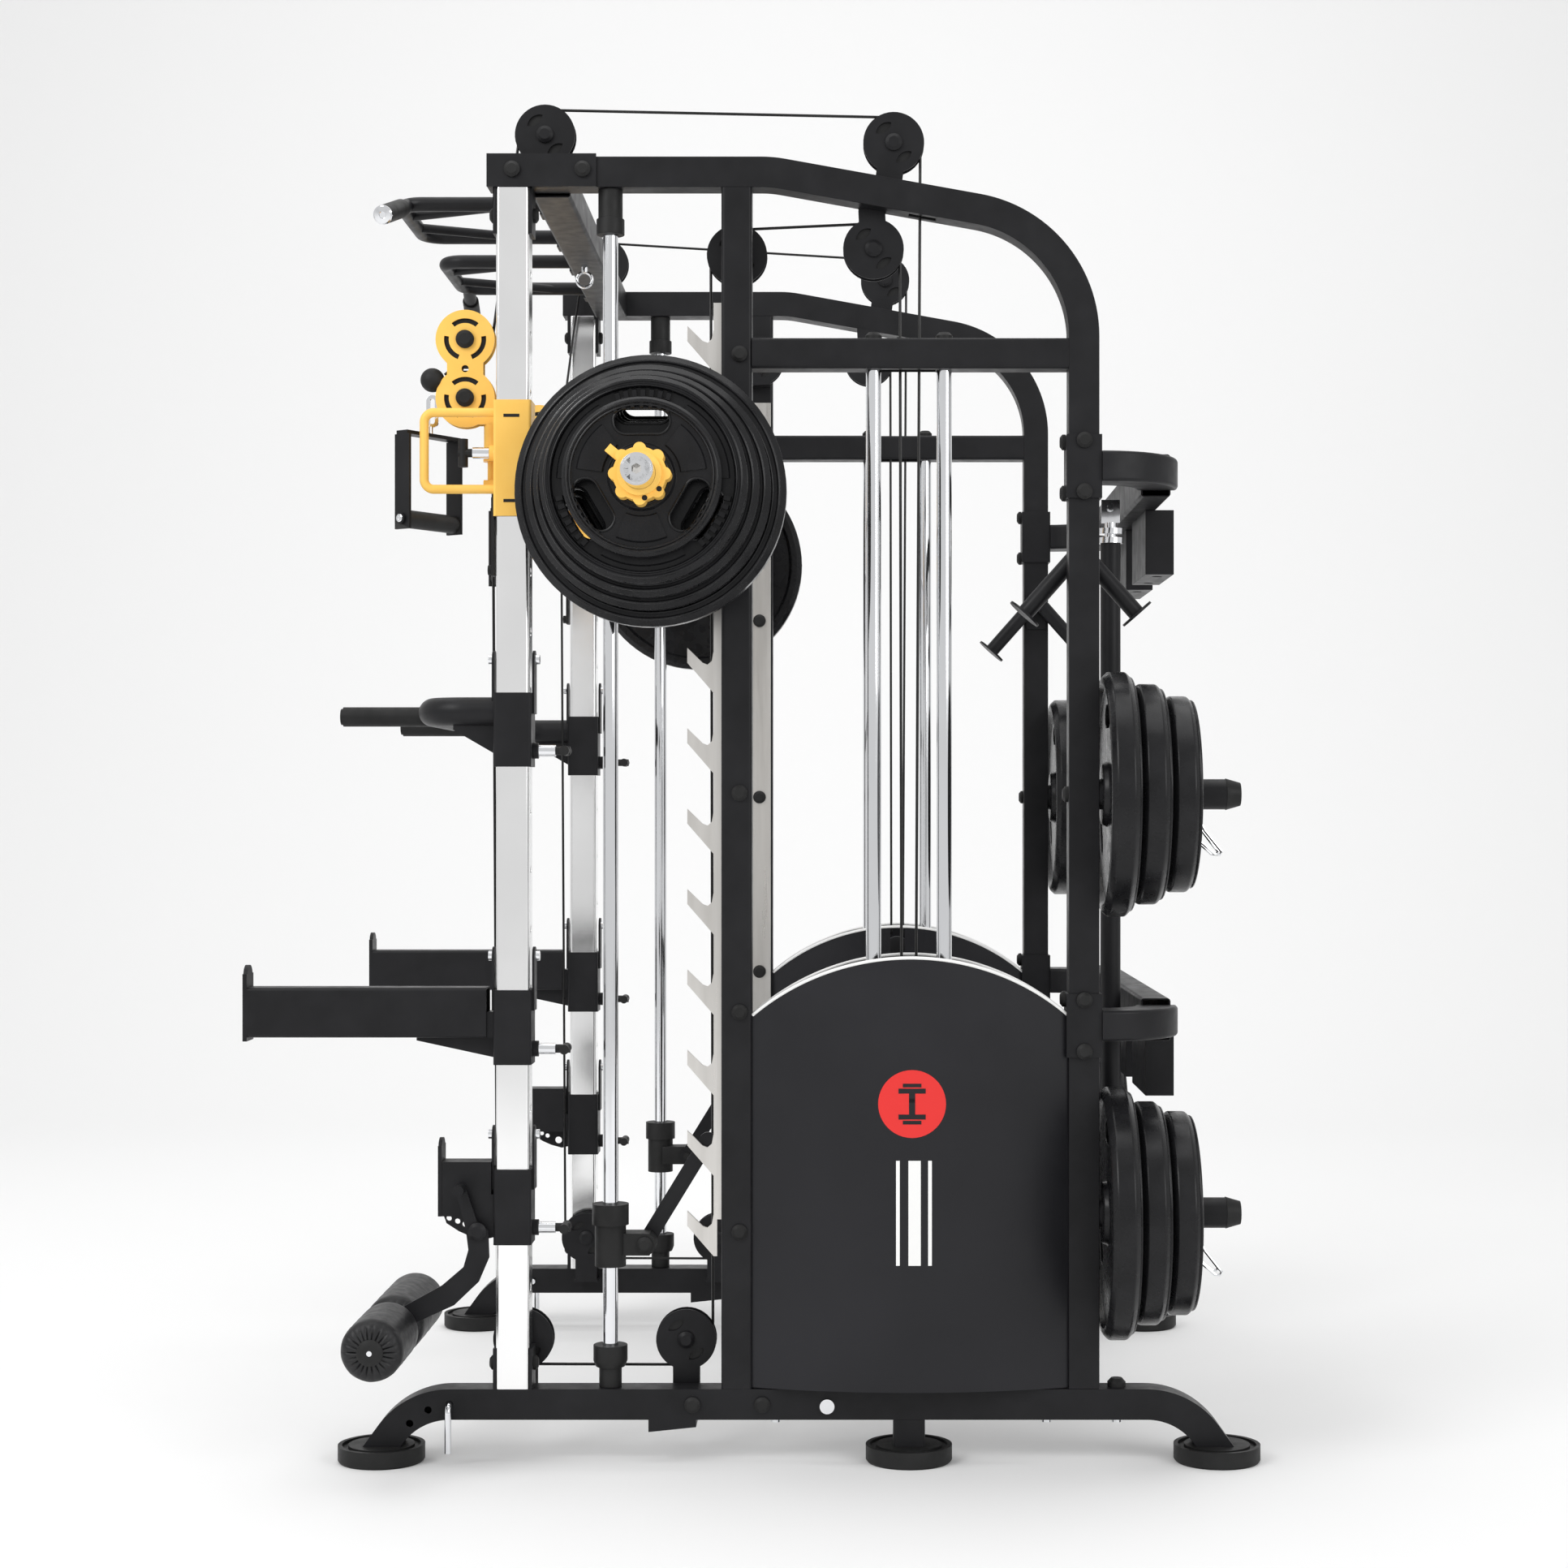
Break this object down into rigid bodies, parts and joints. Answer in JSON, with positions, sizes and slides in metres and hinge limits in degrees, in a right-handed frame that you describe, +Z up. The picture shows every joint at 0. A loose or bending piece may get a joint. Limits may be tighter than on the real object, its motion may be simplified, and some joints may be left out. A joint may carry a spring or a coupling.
{
  "type": "smith machine",
  "caption": "Smith machine with guided bar, two cable stacks, sliding arms and rear plate storage on a steel frame.",
  "frame": {"origin": "on the floor, under the middle of the whole machine", "axes": "+X towards the machine's right, +Y towards its rear, +Z up"},
  "size_m": [1.93, 1.6658, 2.237],
  "materials": {
    "black_coat": "fine black powder coat",
    "black_rubber": "moulded black rubber",
    "chrome": "polished chrome plate",
    "brushed_plate": "brushed steel plate",
    "plate_rubber": "semi-gloss rubber coating",
    "cable_jacket": "nylon jacket",
    "wheel_plastic": "moulded nylon",
    "plunger_chrome": "chrome barrel with rubber handle",
    "yellow_coat": "yellow powder coat",
    "satin_cover": "satin black coated sheet",
    "foam_vinyl": "black vinyl over foam",
    "cast_weight": "painted cast weight"
  },
  "bodies": {
    "frame": {"base_rails": "black_coat", "top_rails": "black_coat", "stack_frames": "black_coat", "front_posts": "chrome", "feet_and_caps": "black_rubber", "crossbeams": "black_coat", "pull_up_bar": "black_coat", "pull_up_grips": "black_rubber", "brackets": "black_coat", "bar_storage_boxes": "black_coat", "bright_hardware": "chrome", "guide_rods": "chrome", "rod_collars": "black_rubber", "catch_racks": "brushed_plate", "weight_stacks": "cast_weight", "shrouds": "satin_cover", "cables": "cable_jacket", "pegs": "black_coat", "stored_plates": "plate_rubber"},
    "stack_head_right": {"stack_head_right": "cast_weight"},
    "selector_pin_right": {"selector_pin_right": "yellow_coat"},
    "trainer_carriage_right": {"trainer_carriage_right": "yellow_coat"},
    "pulley_block_right": {"pulley_block_right": "yellow_coat"},
    "d_handle_right": {"d_handle_right": "black_coat"},
    "safety_stop_right": {"safety_stop_right": "black_rubber"},
    "stop_link_right": {"stop_link_right": "black_coat"},
    "dip_arm_right": {"dip_arm_right": "black_coat"},
    "spotter_arm_right": {"spotter_arm_right": "black_coat"},
    "j_hook_right": {"j_hook_right": "black_coat"},
    "trainer_plunger_right": {"trainer_plunger_right": "plunger_chrome"},
    "dip_plunger_right": {"dip_plunger_right": "plunger_chrome"},
    "spotter_plunger_right": {"spotter_plunger_right": "plunger_chrome"},
    "j_hook_plunger_right": {"j_hook_plunger_right": "plunger_chrome"},
    "stack_head_left": {"stack_head_left": "cast_weight"},
    "selector_pin_left": {"selector_pin_left": "yellow_coat"},
    "trainer_carriage_left": {"trainer_carriage_left": "yellow_coat"},
    "pulley_block_left": {"pulley_block_left": "yellow_coat"},
    "d_handle_left": {"d_handle_left": "black_coat"},
    "safety_stop_left": {"safety_stop_left": "black_rubber"},
    "stop_link_left": {"stop_link_left": "black_coat"},
    "dip_arm_left": {"dip_arm_left": "black_coat"},
    "spotter_arm_left": {"spotter_arm_left": "black_coat"},
    "j_hook_left": {"j_hook_left": "black_coat"},
    "trainer_plunger_left": {"trainer_plunger_left": "plunger_chrome"},
    "dip_plunger_left": {"dip_plunger_left": "plunger_chrome"},
    "spotter_plunger_left": {"spotter_plunger_left": "plunger_chrome"},
    "j_hook_plunger_left": {"j_hook_plunger_left": "plunger_chrome"},
    "front_top_wheels": {"front_top_wheels": "wheel_plastic"},
    "rear_top_wheels": {"rear_top_wheels": "wheel_plastic"},
    "mid_post_wheels": {"mid_post_wheels": "wheel_plastic"},
    "rail_wheels": {"rail_wheels": "wheel_plastic"},
    "front_low_wheels": {"front_low_wheels": "wheel_plastic"},
    "mid_low_wheels": {"mid_low_wheels": "wheel_plastic"},
    "bar_carriage": {"bar_sliders": "black_coat"},
    "bar": {"smith_bar": "chrome", "bar_plates": "plate_rubber", "bar_collars": "yellow_coat"},
    "leg_arm": {"leg_roller_arm": "black_coat"},
    "leg_rollers": {"foam_rollers": "foam_vinyl"},
    "hanging_bar": {"hanging_bar": "black_coat"}
  },
  "joints": [
    {"name": "stack_lift_right", "type": "slide", "parent": "frame", "child": "stack_head_right", "axis": [0, 0, 1], "range_m": [0, 0.85], "deforming": ["cables"]},
    {"name": "selector_pin_pull_right", "type": "slide", "parent": "stack_head_right", "child": "selector_pin_right", "axis": [-1, 0, 0], "range_m": [0, 0.05]},
    {"name": "trainer_slide_right", "type": "slide", "parent": "frame", "child": "trainer_carriage_right", "axis": [0, 0, 1], "range_m": [-0.0978, 0.1956]},
    {"name": "block_swivel_right", "type": "hinge", "parent": "trainer_carriage_right", "child": "pulley_block_right", "pos_m": [0.53, -0.4346, 1.65], "axis": [0, 0, 1], "range_deg": [-90, 0]},
    {"name": "d_handle_swing_right", "type": "hinge", "parent": "pulley_block_right", "child": "d_handle_right", "pos_m": [0.53, -0.534, 1.762], "axis": [1, 0, 0], "range_deg": [-35, 0]},
    {"name": "safety_stop_slide_right", "type": "slide", "parent": "frame", "child": "safety_stop_right", "axis": [0, 0, 1], "range_m": [-0.12, 0.9]},
    {"name": "stop_link_tilt_right", "type": "hinge", "parent": "safety_stop_right", "child": "stop_link_right", "pos_m": [0.544, -0.177, 0.356], "axis": [1, 0, 0], "range_deg": [0, 45]},
    {"name": "dip_arm_slide_right", "type": "slide", "parent": "frame", "child": "dip_arm_right", "axis": [0, 0, 1], "range_m": [-0.1956, 0.0978]},
    {"name": "spotter_arm_slide_right", "type": "slide", "parent": "frame", "child": "spotter_arm_right", "axis": [0, 0, 1], "range_m": [-0.0978, 0.2934]},
    {"name": "j_hook_slide_right", "type": "slide", "parent": "frame", "child": "j_hook_right", "axis": [0, 0, 1], "range_m": [0, 0.0978]},
    {"name": "trainer_plunger_right_pull", "type": "slide", "parent": "trainer_carriage_right", "child": "trainer_plunger_right", "axis": [0, -1, 0], "range_m": [0, 0.012], "stiffness_N_per_m": 600},
    {"name": "dip_plunger_right_pull", "type": "slide", "parent": "dip_arm_right", "child": "dip_plunger_right", "axis": [0, 1, 0], "range_m": [0, 0.012], "stiffness_N_per_m": 600},
    {"name": "spotter_plunger_right_pull", "type": "slide", "parent": "spotter_arm_right", "child": "spotter_plunger_right", "axis": [0, 1, 0], "range_m": [0, 0.012], "stiffness_N_per_m": 600},
    {"name": "j_hook_plunger_right_pull", "type": "slide", "parent": "j_hook_right", "child": "j_hook_plunger_right", "axis": [0, 1, 0], "range_m": [0, 0.012], "stiffness_N_per_m": 600},
    {"name": "stack_lift_left", "type": "slide", "parent": "frame", "child": "stack_head_left", "axis": [0, 0, 1], "range_m": [0, 0.85]},
    {"name": "selector_pin_pull_left", "type": "slide", "parent": "stack_head_left", "child": "selector_pin_left", "axis": [1, 0, 0], "range_m": [0, 0.05]},
    {"name": "trainer_slide_left", "type": "slide", "parent": "frame", "child": "trainer_carriage_left", "axis": [0, 0, 1], "range_m": [-0.0978, 0.1956]},
    {"name": "block_swivel_left", "type": "hinge", "parent": "trainer_carriage_left", "child": "pulley_block_left", "pos_m": [-0.53, -0.4346, 1.65], "axis": [0, 0, 1], "range_deg": [0, 90]},
    {"name": "d_handle_swing_left", "type": "hinge", "parent": "pulley_block_left", "child": "d_handle_left", "pos_m": [-0.53, -0.534, 1.762], "axis": [1, 0, 0], "range_deg": [-35, 0]},
    {"name": "safety_stop_slide_left", "type": "slide", "parent": "frame", "child": "safety_stop_left", "axis": [0, 0, 1], "range_m": [-0.12, 0.9]},
    {"name": "stop_link_tilt_left", "type": "hinge", "parent": "safety_stop_left", "child": "stop_link_left", "pos_m": [-0.544, -0.177, 0.356], "axis": [1, 0, 0], "range_deg": [0, 45]},
    {"name": "dip_arm_slide_left", "type": "slide", "parent": "frame", "child": "dip_arm_left", "axis": [0, 0, 1], "range_m": [-0.1956, 0.0978]},
    {"name": "spotter_arm_slide_left", "type": "slide", "parent": "frame", "child": "spotter_arm_left", "axis": [0, 0, 1], "range_m": [-0.0978, 0.2934]},
    {"name": "j_hook_slide_left", "type": "slide", "parent": "frame", "child": "j_hook_left", "axis": [0, 0, 1], "range_m": [0, 0.0978]},
    {"name": "trainer_plunger_left_pull", "type": "slide", "parent": "trainer_carriage_left", "child": "trainer_plunger_left", "axis": [0, -1, 0], "range_m": [0, 0.012], "stiffness_N_per_m": 600},
    {"name": "dip_plunger_left_pull", "type": "slide", "parent": "dip_arm_left", "child": "dip_plunger_left", "axis": [0, 1, 0], "range_m": [0, 0.012], "stiffness_N_per_m": 600},
    {"name": "spotter_plunger_left_pull", "type": "slide", "parent": "spotter_arm_left", "child": "spotter_plunger_left", "axis": [0, 1, 0], "range_m": [0, 0.012], "stiffness_N_per_m": 600},
    {"name": "j_hook_plunger_left_pull", "type": "slide", "parent": "j_hook_left", "child": "j_hook_plunger_left", "axis": [0, 1, 0], "range_m": [0, 0.012], "stiffness_N_per_m": 600},
    {"name": "front_top_wheels_spin", "type": "hinge", "parent": "frame", "child": "front_top_wheels", "pos_m": [0, -0.346, 2.187], "axis": [1, 0, 0], "continuous": true},
    {"name": "rear_top_wheels_spin", "type": "hinge", "parent": "frame", "child": "rear_top_wheels", "pos_m": [0, 0.231, 2.162], "axis": [1, 0, 0], "continuous": true},
    {"name": "mid_post_wheels_spin", "type": "hinge", "parent": "frame", "child": "mid_post_wheels", "pos_m": [0, -0.028, 1.988], "axis": [1, 0, 0], "continuous": true},
    {"name": "rail_wheels_spin", "type": "hinge", "parent": "frame", "child": "rail_wheels", "pos_m": [0, 0.198, 1.992], "axis": [1, 0, 0], "continuous": true},
    {"name": "front_low_wheels_spin", "type": "hinge", "parent": "frame", "child": "front_low_wheels", "pos_m": [0, -0.382, 0.192], "axis": [1, 0, 0], "continuous": true},
    {"name": "mid_low_wheels_spin", "type": "hinge", "parent": "frame", "child": "mid_low_wheels", "pos_m": [0, -0.112, 0.191], "axis": [1, 0, 0], "continuous": true},
    {"name": "bar_travel", "type": "slide", "parent": "frame", "child": "bar_carriage", "axis": [0, 0, 1], "range_m": [-1.0632, 0.2658]},
    {"name": "bar_turn", "type": "hinge", "parent": "bar_carriage", "child": "bar", "pos_m": [0, -0.161, 1.581], "axis": [1, 0, 0], "range_deg": [-56, 0]},
    {"name": "leg_arm_tilt", "type": "hinge", "parent": "j_hook_right", "child": "leg_arm", "pos_m": [0.6, -0.447, 0.382], "axis": [1, 0, 0], "range_deg": [-60, 0]},
    {"name": "leg_rollers_spin", "type": "hinge", "parent": "leg_arm", "child": "leg_rollers", "pos_m": [0.6, -0.588, 0.223], "axis": [1, 0, 0], "continuous": true},
    {"name": "hanging_bar_swing", "type": "hinge", "parent": "frame", "child": "hanging_bar", "pos_m": [0.33, 0.611, 1.592], "axis": [1, 0, 0], "range_deg": [-4, 1]}
  ]
}
